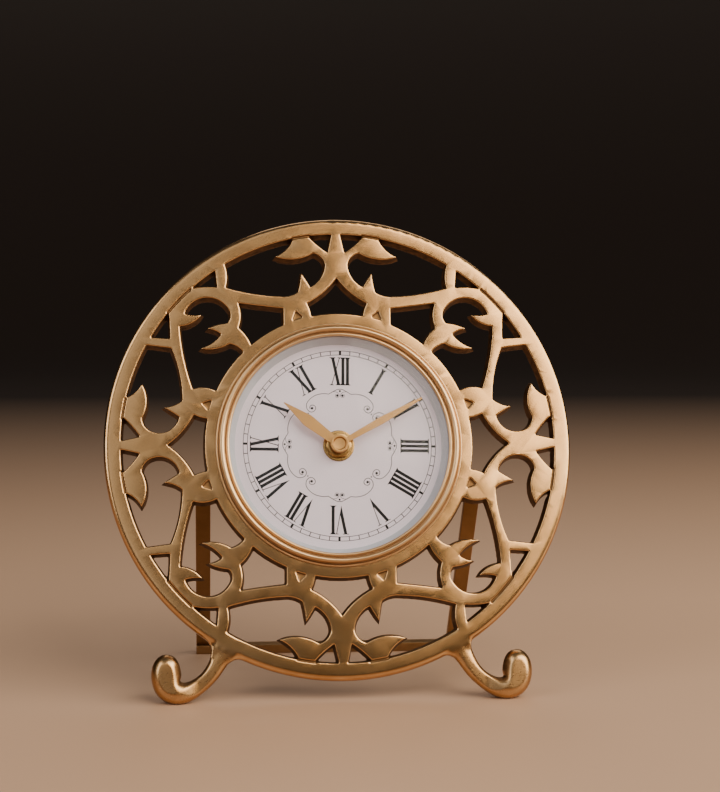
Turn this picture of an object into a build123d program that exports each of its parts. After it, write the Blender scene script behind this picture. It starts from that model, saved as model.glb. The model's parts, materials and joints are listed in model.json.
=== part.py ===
from build123d import *
import math
import os

# Table clock: a cast openwork plate on two scroll feet, propped by a folding strut,
# with a bezelled dial insert and a battery movement in its middle.
# Millimetres. X to the viewer's right, Y to the back, Z up, the table at Z = 0.
# Pieces of the plate are drawn flat, X across, Y up the plate and Z out of its front
# face, and are then leaned back together.

# Stance
LEAN = 17                   # degrees that the plate leans back from upright
GROUND_FLAT = 0.5           # depth of the flat ground on each foot

# Cast plate
RING_R = 100.7              # outer radius
RING_BAND = 7.2             # width of the outer ring
HUB_BAND = 7.4              # width of the ring round the dial
CASTING_T = 6               # thickness
RIM_ROUND = 2.2             # round of the outer rim at the front
RIM_BACK_ROUND = 1.0        # round of the outer rim at the back
EYE_DEPTH = 1.2             # depth of the small three-cornered recesses
CREASE_DEPTH = 1.0          # depth of the creases where scrolls lie against the ring

# Feet
FOOT_ROOT_ANGLE = 29.4      # degrees from six o'clock to the root of a foot
FOOT_SINK = 3.5             # how far the root reaches under the rim before it is cut to it
FOOT_REACH = 26.3           # sideways from the root to the outermost centre line
FOOT_DROP = 19.8            # down the plate from the root to the lowest centre line
FOOT_BULB_D = 12.6          # thickness of the curled end

# Strut
STRUT_ANGLE = 35            # degrees from upright when open
LEG_W = 6.4                 # width of a leg
LEG_T = 3.0                 # thickness of a leg
EYE_R = 3.0                 # round end of a leg
HEEL_REACH = 3.2            # length of the heel that stops the leg
CROSSBAR_H = 4.0            # height of the crossbar
CROSSBAR_D = 7.0            # depth of the crossbar
BRACKET_T = 1.5             # sheet of the hinge brackets
BRACKET_H = 8.4             # height of a bracket along the plate
PIN_R = 1.5                 # hinge pin
PIN_HEAD_R = 2.5            # its riveted heads
PIN_HEAD_T = 0.8            # thickness of a head
STOP_GAP = 0.15             # air between heel and bracket at the open stop

# Bezel and glass
LIP_R = 47.2                # inner radius of the bezel
LIP_COVER = 1.2             # how far the lip covers the can's inside
LIP_BEAD_R = 0.75           # small bead round the glass
MAIN_BEAD_R = 1.15          # main bead
EDGE_BEAD_R = 0.4           # bead at the outer edge
BEAD_GROOVE = 0.6           # groove between beads
BEZEL_SEAT = 1.2            # height of the glass seat over the casting's face
LIP_RISE = 0.6              # straight part of the lip under its bead
MAIN_BEAD_RISE = 1.4        # straight part of the main bead over the seat
EDGE_GROOVE_RISE = 0.7      # height of the outer groove's floor
GLASS_T = 1.6               # thickness of the domed glass
GLASS_RIM = 1.6             # width of its flat rim
GLASS_RISE = 4.4            # rise of the dome

# Dial insert
CAN_WALL = 1.0              # wall of the spun can
CAN_FLOOR_T = 1.2           # floor of the can
GRIP_T = 0.8                # rubber band between the can and the casting
GRIP_MARGIN = 0.5           # band set back from each face of the casting
SPACER_SLOPE = 2.4          # how far the spacer slopes in under the lip
DIAL_T = 0.3                # dial card
SEAT_FIT = 0.2              # room round pieces that drop into the can

# Hands and their fittings
BUSH_R = 3.9                # threaded bush of the movement
BUSH_BORE_R = 2.58          # its bore
BUSH_RISE = 0.6             # bush end above the nut
DIAL_WASHER_R = 6.75        # brass washer
DIAL_WASHER_T = 0.5
NUT_AF = 10                 # nut across flats
NUT_T = 2.2
NUT_CHAMFER = 0.35
HOUR_TUBE_R = 2.5           # tube that carries the hour hand
HOUR_TUBE_BORE_R = 1.66
ARBOR_R = 1.6               # arbor that carries the minute hand
HAND_T = 0.4                # sheet of the hands
HAND_GAP = 0.5              # air between bush and hour hand, and over it
HAND_RISE = 0.5             # minute hand's top above the glass's rim, inside its dome
HOUR_TIP_GAP = 14.8         # from the hour hand's tip to the spacer
HOUR_WIDTH = 5.3
HOUR_HUB_R = 3.7
HOUR_ANGLE = 308            # degrees clockwise from twelve
MINUTE_TIP_GAP = 3.4        # from the minute hand's tip to the spacer
MINUTE_WIDTH = 3.2
MINUTE_HUB_R = 3.9
MINUTE_ANGLE = 61
CAP_T = 1.8                 # dished cap on the minute arbor
CAP_RIM = 1.1               # width of its rim
CAP_DISH = 0.7              # depth of its dish

# Movement
MOVEMENT_T = 13.2           # depth of the case behind the rubber washer
CASE_WALL = 1.5
CASE_ROUND = 3.0            # corners of the case
BACK_T = 1.5                # back cover
RUBBER_WASHER_R = 11
RUBBER_WASHER_T = 1.0
BATTERY_R = 7.25
BATTERY_L = 49.2            # can of the cell
BATTERY_NUB_R = 2.75
BATTERY_NUB_L = 1.3
DIVIDER_T = 1.2             # wall between the train and the cell
CONTACT_ROOM = 1.25         # room for a contact at each end of the cell
CONTACT_T = 0.4             # sheet of the contacts
CONTACT_W = 9.0

# Wheels
HAND_MODULE = 0.5           # teeth of the minute work
TRAIN_MODULE = 0.4          # teeth of the going train
CANNON_TEETH = 12
MINUTE_WHEEL_TEETH = 36
MINUTE_PINION_TEETH = 12
HOUR_TEETH = 48
SETTING_TEETH = 18
CENTRE_TEETH = 46
THIRD_TEETH = 30
FOURTH_TEETH = 26
LEAF_TEETH = 10             # pinions of the going train
PRESSURE = 25               # degrees, pressure angle of all teeth
ADDENDUM_SHARE = 0.8        # stub teeth, of the module
DEDENDUM_SHARE = 1.05
BACKLASH_SHARE = 0.09       # of the tooth's own width
WHEEL_T = 1.0
LEVEL_GAP = 0.8             # air between the levels of wheels
POST_R = 1.0                # post of the minute wheel
STAFF_R = 0.6               # thin staffs of the going train
SETTING_SHAFT_R = 1.5
SETTING_ANGLE = 27          # degrees, place of the setting shaft round the minute wheel
KNOB_R = 5.5
KNOB_T = 3.6
KNOB_GAP = 0.6              # knob above the back cover
KNOB_FLUTES = 18
KNOB_FLUTE_R = 0.5
TRAIN_PLATE_T = 1.0
THIRD_ANGLE = 160           # degrees, places of the train round each other
FOURTH_ANGLE = 110
ROTOR_ANGLE = 100
ROTOR_R = 2.6
STATOR_T = 1.0
STATOR_W = 10.5
STATOR_H = 12.2
CORE_W = 2.0
CORE_L = 23
COIL_R = 2.2
COIL_L = 17
BOARD_W = 17
BOARD_H = 17
BOARD_T = 0.9
CHIP_R = 2.6
CHIP_T = 0.9
CRYSTAL_R = 1.0
CRYSTAL_L = 6.0

# Fits
RUNNING_FIT = 0.06          # radial room of a turning shaft
PRESS_FIT = 0.02            # radial room of a fixed shaft
SIDE_GAP = 0.3              # room beside a moving piece
CUT = 50                    # overrun of cuts that pass right through

# Worked out from the sizes above
can_inner_r = LIP_R + LIP_COVER
can_r = can_inner_r + CAN_WALL
bore_r = can_r + GRIP_T
hub_r = bore_r + HUB_BAND
web_r = RING_R - RING_BAND
seat_r = can_inner_r - SEAT_FIT
dial_view_r = LIP_R - SPACER_SLOPE
glass_low = BEZEL_SEAT - GLASS_T
cap_w = glass_low + HAND_RISE
minute_hand_w = cap_w - HAND_T
hour_hand_w = minute_hand_w - HAND_GAP - HAND_T
bush_top = hour_hand_w - HAND_GAP
nut_top = bush_top - BUSH_RISE
washer_top = nut_top - NUT_T
dial_face = washer_top - DIAL_WASHER_T
dial_back = dial_face - DIAL_T
can_back = dial_back - CAN_FLOOR_T
movement_front = can_back - RUBBER_WASHER_T
case_floor = movement_front - CASE_WALL
case_back = movement_front - MOVEMENT_T
back_face = case_back - BACK_T
hour_level = case_floor - SIDE_GAP
minute_level = hour_level - WHEEL_T - LEVEL_GAP
centre_level = minute_level - WHEEL_T - LEVEL_GAP
third_level = centre_level - WHEEL_T - LEVEL_GAP
train_plate_w = third_level - STATOR_T / 2 - COIL_R - SIDE_GAP
lean_turn = 90 - LEAN
casting_middle = -CASTING_T / 2

# The openwork, one quarter of it: clockwise share of the quarter from twelve o'clock,
# share of the way from the hub to the outer ring, and whether an arc passes through.
LEAF_GAP_SHARES = [
    (0.012, 1.00, 0), (0.012, 1.10, 0), (0.081, 1.10, 0), (0.081, 0.98, 0), (0.058, 0.87, 1), (0.027, 0.77, 0)]
UPPER_GAP_SHARES = [
    (0.130, 0.98, 0), (0.128, 1.11, 0), (0.355, 1.11, 0), (0.350, 1.01, 0), (0.362, 0.87, 1), (0.389, 0.75, 0),
    (0.317, 0.50, 1), (0.231, 0.34, 0), (0.193, 0.31, 1), (0.156, 0.33, 0), (0.139, 0.44, 1), (0.128, 0.55, 0),
    (0.116, 0.45, 1), (0.105, 0.36, 0), (0.056, 0.47, 1), (0.039, 0.62, 0), (0.049, 0.71, 1), (0.075, 0.78, 0),
    (0.140, 0.74, 1), (0.197, 0.83, 0), (0.158, 0.88, 1)]
SIDE_GAP_SHARES = [
    (0.690, 1.00, 0), (0.692, 1.12, 0), (0.863, 1.12, 0), (0.859, 1.00, 0), (0.838, 0.91, 1), (0.807, 0.86, 0),
    (0.858, 0.75, 1), (0.914, 0.77, 0), (0.940, 0.72, 1), (0.955, 0.63, 0), (0.951, 0.46, 1), (0.888, 0.33, 0),
    (0.875, 0.43, 1), (0.864, 0.53, 0), (0.850, 0.43, 1), (0.822, 0.34, 0), (0.731, 0.48, 1), (0.661, 0.72, 0)]
UPPER_CORNER_SHARES = [
    (0.382, 1.00, 0), (0.383, 1.08, 0), (0.480, 1.11, 0), (0.471, 0.99, 0), (0.440, 0.91, 1), (0.410, 0.81, 0)]
SIDE_CORNER_SHARES = [
    (0.573, 0.99, 0), (0.571, 1.08, 0), (0.665, 1.10, 0), (0.665, 1.00, 0), (0.637, 0.79, 0), (0.604, 0.88, 1)]
INNER_GAP_SHARES = [
    (0.236, 0.19, 0), (0.315, 0.33, 1), (0.385, 0.51, 0), (0.406, 0.36, 1), (0.444, 0.26, 0), (0.442, 0.12, 1),
    (0.453, 0.00, 0), (0.453, -0.08, 0), (0.268, -0.08, 0), (0.265, 0.00, 0)]
SCROLL_GAP_SHARES = [
    (0.545, 0.84, 0), (0.459, 0.80, 1), (0.426, 0.52, 0), (0.437, 0.43, 1), (0.465, 0.39, 0), (0.498, 0.46, 1),
    (0.532, 0.51, 0), (0.517, 0.42, 1), (0.512, 0.34, 0), (0.561, 0.35, 1), (0.606, 0.42, 0), (0.571, 0.27, 1),
    (0.517, 0.19, 0), (0.504, 0.10, 1), (0.502, 0.00, 0), (0.502, -0.08, 0), (0.735, -0.08, 0), (0.735, 0.00, 0),
    (0.741, 0.15, 1), (0.766, 0.27, 0), (0.674, 0.52, 1), (0.586, 0.79, 0), (0.553, 0.70, 1), (0.511, 0.68, 0),
    (0.531, 0.75, 1)]
CROWN_GAP_SHARES = [
    (0.000, 0.45, 0), (0.057, 0.27, 1), (0.133, 0.17, 0), (0.126, 0.08, 1), (0.127, 0.00, 0), (0.127, -0.08, 0),
    (0.000, -0.08, 0)]
EYE_SHARES = [(0.218, 0.01, 0), (0.189, 0.11, 0), (0.166, 0.01, 0)]
# Creases along the ring's inner edge: where each starts, its middle and its end round
# the quarter, and how far it spreads to each side of that edge.
CREASE_SHARES = [(0.076, 0.106, 0.134), (0.474, 0.525, 0.577), (0.858, 0.890, 0.924)]
CREASE_SPREAD_SHARE = 0.013
# Place of the right hinge, in the same two shares.
HINGE_SHARES = (1.208, 0.116)
# A foot's centre line from its root: share of its reach, share of its drop,
# and the shares of the bulb's thickness that it has in the plate's plane and across it.
FOOT_SHARES = [
    (0.00, 0.00, 0.86, 0.46), (0.10, 0.20, 0.75, 0.46), (0.21, 0.45, 0.59, 0.48), (0.32, 0.66, 0.54, 0.51),
    (0.47, 0.84, 0.55, 0.55), (0.63, 0.96, 0.63, 0.64), (0.79, 1.00, 0.76, 0.76), (0.94, 0.90, 0.92, 0.86),
    (1.00, 0.65, 1.00, 0.90), (0.99, 0.41, 0.88, 0.80), (0.97, 0.27, 0.60, 0.56), (0.96, 0.20, 0.22, 0.20)]
# Half a hand from the centre to its tip: share of its length, share of its width.
HOUR_HAND_SHARES = [(0.00, 0.62), (0.57, 1.00), (1.00, 0.06)]
MINUTE_HAND_SHARES = [(0.00, 0.62), (0.52, 1.00), (1.00, 0.28)]


def clock_point(angle_share, radius_share):
    """A point of the openwork, from its two shares."""
    angle = math.radians(90 * angle_share)
    radius = hub_r + radius_share * (web_r - hub_r)
    return (radius * math.sin(angle), radius * math.cos(angle))


hinge_u, hinge_v = clock_point(*HINGE_SHARES)


def gap_face(rows):
    """A flat face bounded by lines, and by arcs through the marked points."""
    points = [clock_point(angle, radius) for angle, radius, _ in rows]
    count = len(rows)
    edges = []
    at = 0
    while at < count:
        ahead = (at + 1) % count
        if rows[ahead][2]:
            beyond = (at + 2) % count
            edges.append(ThreePointArc(points[at], points[ahead], points[beyond]))
            at += 2
        else:
            edges.append(Line(points[at], points[ahead]))
            at += 1
    return make_face(edges)


def across(rows):
    """The same rows, mirrored about the middle of the quarter."""
    return [(1 - angle, radius, through) for angle, radius, through in rows]


def all_round(quarter):
    """A quarter's faces mirrored to all four quarters."""
    half = quarter + mirror(quarter, about=Plane.YZ)
    return half + mirror(half, about=Plane.XZ)


def openwork():
    """The gaps of the casting as one flat sketch."""
    rows = [LEAF_GAP_SHARES, UPPER_GAP_SHARES, SIDE_GAP_SHARES, UPPER_CORNER_SHARES, SIDE_CORNER_SHARES]
    rows += [INNER_GAP_SHARES, SCROLL_GAP_SHARES, CROWN_GAP_SHARES]
    rows += [across(LEAF_GAP_SHARES), across(CROWN_GAP_SHARES)]
    quarter = Sketch() + [gap_face(table) for table in rows]
    return all_round(quarter) & (Circle(web_r) - Circle(hub_r))


def disc(radius, low, high, bore=0):
    """A round plate or tube along the dial's axis."""
    face = Circle(radius)
    if bore:
        face = face - Circle(bore)
    return extrude(Pos(0, 0, low) * face, high - low)


def turned(points):
    """A ring turned from a closed profile of (radius, height) points."""
    return revolve(make_face(Plane.XZ * Polyline(*points, close=True)), Axis.Z)


def crease_face(start, middle, end):
    """The narrow band of a crease, along the ring's inner edge."""
    low = 1 - CREASE_SPREAD_SHARE
    high = 1 + CREASE_SPREAD_SHARE
    outward = [(start, low, 0), (start, high, 0), (middle, high, 1), (end, high, 0)]
    return gap_face(outward + [(end, low, 0), (middle, low, 1)])


def frame_casting():
    """The cast plate with its openwork, dial bore, small recesses and creases."""
    blank = extrude(Circle(RING_R), -CASTING_T)
    blank = fillet(blank.edges().sort_by(Axis.Z)[-1], RIM_ROUND)
    blank = fillet(blank.edges().sort_by(Axis.Z)[0], RIM_BACK_ROUND)
    gaps = openwork() + Circle(bore_r)
    eyes = all_round(Sketch() + [gap_face(EYE_SHARES), gap_face(across(EYE_SHARES))])
    creases = all_round(Sketch() + [crease_face(*row) for row in CREASE_SHARES])
    dents = extrude(eyes, -EYE_DEPTH) + extrude(creases, -CREASE_DEPTH)
    return blank - extrude(gaps, CUT, both=True) - dents


def foot_root():
    """Place of a foot's root, just under the rim."""
    angle = math.radians(FOOT_ROOT_ANGLE)
    radius = RING_R - FOOT_SINK
    return (radius * math.sin(angle), -radius * math.cos(angle))


def plate_height():
    """Height of the dial's centre over the table, from the feet that carry it."""
    lowest = max(FOOT_SHARES, key=lambda row: row[1])
    centre_v = foot_root()[1] - FOOT_DROP * lowest[1]
    lean = math.radians(LEAN)
    drop = -centre_v * math.cos(lean) - casting_middle * math.sin(lean)
    return drop + FOOT_BULB_D / 2 * lowest[2] - GROUND_FLAT


def leaned(piece):
    """A flat-drawn piece, leaned back and raised to its place."""
    return Pos(0, 0, plate_height()) * Rot(lean_turn, 0, 0) * piece


def foot(casting):
    """The right scroll foot, cut to the rim that it is brazed to and flat where it stands."""
    root_u, root_v = foot_root()
    rows = FOOT_SHARES
    centres = [(root_u + FOOT_REACH * row[0], root_v - FOOT_DROP * row[1], casting_middle) for row in rows]
    path = Spline(*centres)
    rings = []
    for centre, row in zip(centres, rows):
        along = path % path.param_at_point(Vector(centre))
        section = Ellipse(FOOT_BULB_D / 2 * row[3], FOOT_BULB_D / 2 * row[2])
        rings.append(Plane(origin=centre, x_dir=(0, 0, 1), z_dir=along) * section)
    rod = loft(rings) - casting - disc(RING_R - RIM_ROUND, -CUT, CUT)
    table = Pos(0, 0, -CUT) * Box(RING_R * 4, RING_R * 4, CUT * 2)
    return leaned(rod) - table


def hinge_axis():
    """Height of the hinge pins behind the casting's face."""
    lean = math.radians(STRUT_ANGLE + LEAN)
    heel = HEEL_REACH * math.sin(lean) + LEG_T / 2 * math.cos(lean)
    return -CASTING_T - BRACKET_T - STOP_GAP - heel


def hinge_bracket(side):
    """A bent bracket with two ears, brazed to the back of the casting."""
    gap = LEG_W / 2 + SIDE_GAP
    pin_w = hinge_axis()
    base = extrude(Pos(0, 0, -CASTING_T) * Rectangle(2 * (gap + BRACKET_T), BRACKET_H), -BRACKET_T)
    ear_w = -CASTING_T - pin_w
    cheek = Pos(0, -CASTING_T - ear_w / 2) * Rectangle(BRACKET_H, ear_w) + Pos(0, pin_w) * Circle(BRACKET_H / 2)
    cheek = extrude(Plane.YZ * cheek, BRACKET_T)
    hole = Plane.YZ * Pos(0, pin_w) * Circle(PIN_R + PRESS_FIT)
    body = base + Pos(gap, 0, 0) * cheek + Pos(-gap - BRACKET_T, 0, 0) * cheek
    body = body - extrude(hole, CUT, both=True)
    return leaned(Pos(side * hinge_u, hinge_v, 0) * body)


def hinge_pin(side):
    """A pin with a head outside each ear."""
    half = LEG_W / 2 + SIDE_GAP + BRACKET_T
    place = Pos(side * hinge_u, hinge_v, hinge_axis())
    shank = extrude(Plane.YZ * Circle(PIN_R), half, both=True)
    head = extrude(Plane.YZ * Circle(PIN_HEAD_R), PIN_HEAD_T)
    return leaned(place * (shank + Pos(half, 0, 0) * head + Pos(-half - PIN_HEAD_T, 0, 0) * head))


def hinge_place():
    """Y and Z of the hinge axis."""
    at = leaned(Vertex(0, hinge_v, hinge_axis())).center()
    return (at.Y, at.Z)


def crossbar_y():
    """Middle of the crossbar, where the legs' centre lines come down to it."""
    hinge_y, hinge_z = hinge_place()
    return hinge_y + (hinge_z - CROSSBAR_H) * math.tan(math.radians(STRUT_ANGLE))


def strut_leg(side):
    """A flat leg with a drilled round end, a heel over it and its foot cut level."""
    hinge_y, hinge_z = hinge_place()
    length = 2 * hinge_z
    strip = Pos(0, (HEEL_REACH - length) / 2) * Rectangle(LEG_T, length + HEEL_REACH)
    flat = strip + Circle(EYE_R) - Circle(PIN_R + RUNNING_FIT)
    leg = extrude(Plane.YZ * Pos(hinge_y, hinge_z) * Rot(0, 0, STRUT_ANGLE) * flat, LEG_W / 2, both=True)
    below = Pos(0, crossbar_y(), CROSSBAR_H - CUT * 2) * Box(LEG_W * 2, CUT * 4, CUT * 4)
    return Pos(side * hinge_u, 0, 0) * (leg - below)


def strut_crossbar():
    """The bar that joins the legs and lies on the table."""
    return Pos(0, crossbar_y(), CROSSBAR_H / 2) * Box(2 * hinge_u + LEG_W, CROSSBAR_D, CROSSBAR_H)


def bezel_ring():
    """A ring of three beads that holds the glass and covers the edge of the bore."""
    lip_out = LIP_R + 2 * LIP_BEAD_R
    main_in = lip_out + BEAD_GROOVE
    main_out = main_in + 2 * MAIN_BEAD_R
    edge_in = main_out + BEAD_GROOVE
    edge_out = edge_in + 2 * EDGE_BEAD_R
    lip_w = BEZEL_SEAT + LIP_RISE
    main_w = BEZEL_SEAT + MAIN_BEAD_RISE
    skirt_r = can_r + PRESS_FIT
    edges = Polyline((main_out, main_w), (main_out, EDGE_GROOVE_RISE), (edge_in, EDGE_GROOVE_RISE))
    edges += ThreePointArc(
        (edge_in, EDGE_GROOVE_RISE), (edge_in + EDGE_BEAD_R, EDGE_GROOVE_RISE + EDGE_BEAD_R),
        (edge_out, EDGE_GROOVE_RISE))
    edges += Polyline(
        (edge_out, EDGE_GROOVE_RISE), (edge_out, 0), (skirt_r, 0), (skirt_r, BEZEL_SEAT), (LIP_R, BEZEL_SEAT),
        (LIP_R, lip_w))
    edges += ThreePointArc((LIP_R, lip_w), (LIP_R + LIP_BEAD_R, lip_w + LIP_BEAD_R), (lip_out, lip_w))
    edges += Polyline((lip_out, lip_w), (main_in, lip_w), (main_in, main_w))
    edges += ThreePointArc((main_in, main_w), (main_in + MAIN_BEAD_R, main_w + MAIN_BEAD_R), (main_out, main_w))
    return leaned(revolve(make_face(Plane.XZ * edges), Axis.Z))


def glass_lens():
    """A domed glass with a flat rim under the bezel's lip."""
    top = BEZEL_SEAT
    low = glass_low
    dome_r = seat_r - GLASS_RIM
    half = dome_r / 2
    curve = (dome_r ** 2 + GLASS_RISE ** 2) / (2 * GLASS_RISE)
    rise = math.sqrt(curve ** 2 - half ** 2) - (curve - GLASS_RISE)
    edges = Polyline((dome_r, low), (seat_r, low), (seat_r, top), (dome_r, top))
    edges += ThreePointArc((dome_r, top), (half, top + rise), (0, top + GLASS_RISE))
    edges += Line((0, top + GLASS_RISE), (0, low + GLASS_RISE))
    edges += ThreePointArc((0, low + GLASS_RISE), (half, low + rise), (dome_r, low))
    return leaned(revolve(make_face(Plane.XZ * edges), Axis.Z))


def dial_spacer_ring():
    """The sloping ring between the dial and the glass."""
    return leaned(turned([(dial_view_r, dial_face), (seat_r, dial_face), (seat_r, glass_low), (LIP_R, glass_low)]))


def dial_card():
    """The dial."""
    return leaned(disc(seat_r, dial_back, dial_face, BUSH_R + SEAT_FIT))


def insert_can():
    """The spun can that carries dial, glass and movement."""
    wall = disc(can_r, can_back, BEZEL_SEAT, can_inner_r)
    return leaned(wall + disc(can_r, can_back, dial_back, BUSH_R + SEAT_FIT))


def grip_band():
    """The rubber band that holds the can in the casting."""
    return leaned(disc(bore_r, -CASTING_T + GRIP_MARGIN, -GRIP_MARGIN, can_r))


def rubber_washer():
    """The washer between the can and the movement."""
    return leaned(disc(RUBBER_WASHER_R, movement_front, can_back, BUSH_R + SEAT_FIT))


def threaded_bush():
    """The bush that the nut draws the movement up by."""
    return leaned(disc(BUSH_R, case_floor, bush_top, BUSH_BORE_R))


def dial_washer():
    """The brass washer on the dial."""
    return leaned(disc(DIAL_WASHER_R, dial_face, washer_top, BUSH_R + PRESS_FIT))


def hex_nut():
    """The nut, with its corners turned down at the front."""
    body = extrude(Pos(0, 0, washer_top) * RegularPolygon(NUT_AF / 2, 6, major_radius=False), NUT_T)
    corner_r = NUT_AF / 2 / math.cos(math.radians(30))
    side_top = nut_top - NUT_CHAMFER
    low = washer_top
    flare = corner_r - NUT_AF / 2
    turned_down = turned(
        [(0, low), (corner_r + flare, low), (corner_r + flare, side_top - flare), (NUT_AF / 2, nut_top), (0, nut_top)])
    return leaned((body & turned_down) - disc(BUSH_R + PRESS_FIT, low - CUT, nut_top + CUT))


def hand_blade(shares, length, width, hub_r, low, bore):
    """A tapered sheet hand on a round hub, pointing to twelve."""
    right = [(width / 2 * wide, length * along) for along, wide in shares]
    left = [(-across_x, along) for across_x, along in reversed(right)]
    blade = make_face(Polyline(*right, *left, close=True)) + Circle(hub_r)
    return extrude(Pos(0, 0, low) * (blade - Circle(bore)), HAND_T)


def hour_hand():
    """The hour hand on its tube."""
    bore = HOUR_TUBE_R + PRESS_FIT
    length = dial_view_r - HOUR_TIP_GAP
    blade = hand_blade(HOUR_HAND_SHARES, length, HOUR_WIDTH, HOUR_HUB_R, hour_hand_w, bore)
    return leaned(Rot(0, 0, -HOUR_ANGLE) * blade)


def minute_hand():
    """The minute hand on its arbor."""
    bore = ARBOR_R + PRESS_FIT
    length = dial_view_r - MINUTE_TIP_GAP
    blade = hand_blade(MINUTE_HAND_SHARES, length, MINUTE_WIDTH, MINUTE_HUB_R, minute_hand_w, bore)
    return leaned(Rot(0, 0, -MINUTE_ANGLE) * blade)


def cap_nut():
    """The dished cap that closes the hands."""
    top = cap_w + CAP_T
    inner_r = MINUTE_HUB_R - CAP_RIM
    profile = [(0, cap_w), (MINUTE_HUB_R, cap_w), (MINUTE_HUB_R, top), (inner_r, top)]
    profile += [(inner_r - CAP_DISH / 2, top - CAP_DISH), (0, top - CAP_DISH)]
    return leaned(turned(profile))


def involute(angle):
    """Involute function of a pressure angle in radians."""
    return math.tan(angle) - angle


def gear_face(teeth, module, turn=0):
    """A toothed outline with one tooth at the given angle, in degrees from the X axis."""
    pitch_r = module * teeth / 2
    base_r = pitch_r * math.cos(math.radians(PRESSURE))
    tip_r = pitch_r + ADDENDUM_SHARE * module
    root_r = pitch_r - DEDENDUM_SHARE * module
    flank = []
    for radius in (root_r, pitch_r, (pitch_r + tip_r) / 2, tip_r):
        slant = math.acos(min(1, base_r / radius))
        half = math.pi / 2 / teeth * (1 - BACKLASH_SHARE) + involute(math.radians(PRESSURE)) - involute(slant)
        flank.append((radius, half))
    points = []
    for tooth in range(teeth):
        middle = math.radians(turn) + 2 * math.pi * tooth / teeth
        sides = [(radius, middle - half) for radius, half in flank]
        sides += [(radius, middle + half) for radius, half in reversed(flank)]
        points += [(radius * math.cos(angle), radius * math.sin(angle)) for radius, angle in sides]
    return make_face(Polyline(*points, close=True))


def meshing_turn(teeth, turn, direction, other_teeth):
    """Turn of a wheel that lies in a direction from another wheel, so that teeth meet gaps."""
    pitch = 360 / teeth
    other_pitch = 360 / other_teeth
    phase = (direction - turn) / pitch
    return direction + 180 - other_pitch * (1 / 2 - phase)


def gear(teeth, module, back, thick, bore, turn=0):
    """A toothed wheel along the dial's axis."""
    return extrude(Pos(0, 0, back) * (gear_face(teeth, module, turn) - Circle(bore)), thick)


def away(place, distance, direction):
    """A place at a distance and a direction, in degrees from the X axis."""
    angle = math.radians(direction)
    return (place[0] + distance * math.cos(angle), place[1] + distance * math.sin(angle))


def spacing(module, teeth, other_teeth):
    """Distance between the centres of two wheels."""
    return module * (teeth + other_teeth) / 2


def tip_radius(teeth, module):
    """Outer radius of a toothed wheel."""
    return module * (teeth / 2 + ADDENDUM_SHARE)


# Turns of the wheels of the hand work, and places of the other wheels.
hand_spacing = spacing(HAND_MODULE, CANNON_TEETH, MINUTE_WHEEL_TEETH)
hour_module = 2 * hand_spacing / (MINUTE_PINION_TEETH + HOUR_TEETH)
minute_wheel_at = (0, hand_spacing)
cannon_turn = 90
minute_wheel_turn = meshing_turn(CANNON_TEETH, cannon_turn, 90, MINUTE_WHEEL_TEETH)
minute_pinion_turn = -90
hour_turn = meshing_turn(MINUTE_PINION_TEETH, minute_pinion_turn, -90, HOUR_TEETH)
setting_turn = meshing_turn(MINUTE_WHEEL_TEETH, minute_wheel_turn, SETTING_ANGLE, SETTING_TEETH)
setting_at = away(minute_wheel_at, spacing(HAND_MODULE, MINUTE_WHEEL_TEETH, SETTING_TEETH), SETTING_ANGLE)
third_at = away((0, 0), spacing(TRAIN_MODULE, CENTRE_TEETH, LEAF_TEETH), THIRD_ANGLE)
fourth_at = away(third_at, spacing(TRAIN_MODULE, THIRD_TEETH, LEAF_TEETH), FOURTH_ANGLE)
rotor_at = away(fourth_at, spacing(TRAIN_MODULE, FOURTH_TEETH, LEAF_TEETH), ROTOR_ANGLE)

# Rooms of the movement: the train over a divider, the cell under it.
cavity = (BATTERY_L + BATTERY_NUB_L) / 2 + CONTACT_ROOM
stator_low_v = fourth_at[1] + tip_radius(LEAF_TEETH, TRAIN_MODULE) + SIDE_GAP
train_high_v = stator_low_v + STATOR_H + SIDE_GAP
train_low_v = -tip_radius(HOUR_TEETH, hour_module) - SIDE_GAP
divider_v = train_low_v - DIVIDER_T
battery_v = divider_v - SIDE_GAP - BATTERY_R
bay_low_v = battery_v - BATTERY_R - SIDE_GAP
case_low_v = bay_low_v - CASE_WALL
case_high_v = train_high_v + CASE_WALL
core_v = train_high_v - SIDE_GAP - COIL_R


def hour_wheel():
    """The hour wheel and the tube that carries its hand."""
    wheel = gear(HOUR_TEETH, hour_module, hour_level - WHEEL_T, WHEEL_T, HOUR_TUBE_BORE_R, hour_turn)
    return leaned(wheel + disc(HOUR_TUBE_R, hour_level, hour_hand_w + HAND_T, HOUR_TUBE_BORE_R))


def minute_arbor():
    """The centre arbor with its cannon pinion."""
    shaft = disc(ARBOR_R, train_plate_w - TRAIN_PLATE_T, cap_w)
    pinion = gear(CANNON_TEETH, HAND_MODULE, minute_level - WHEEL_T, WHEEL_T, ARBOR_R, cannon_turn)
    return leaned(shaft + pinion)


def minute_wheel():
    """The minute wheel and its pinion, on the case's post."""
    bore = POST_R + RUNNING_FIT
    wheel = gear(MINUTE_WHEEL_TEETH, HAND_MODULE, minute_level - WHEEL_T, WHEEL_T, bore, minute_wheel_turn)
    height = hour_level - minute_level
    pinion = gear(MINUTE_PINION_TEETH, hour_module, minute_level, height, bore, minute_pinion_turn)
    return leaned(Pos(*minute_wheel_at, 0) * (wheel + pinion))


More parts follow.
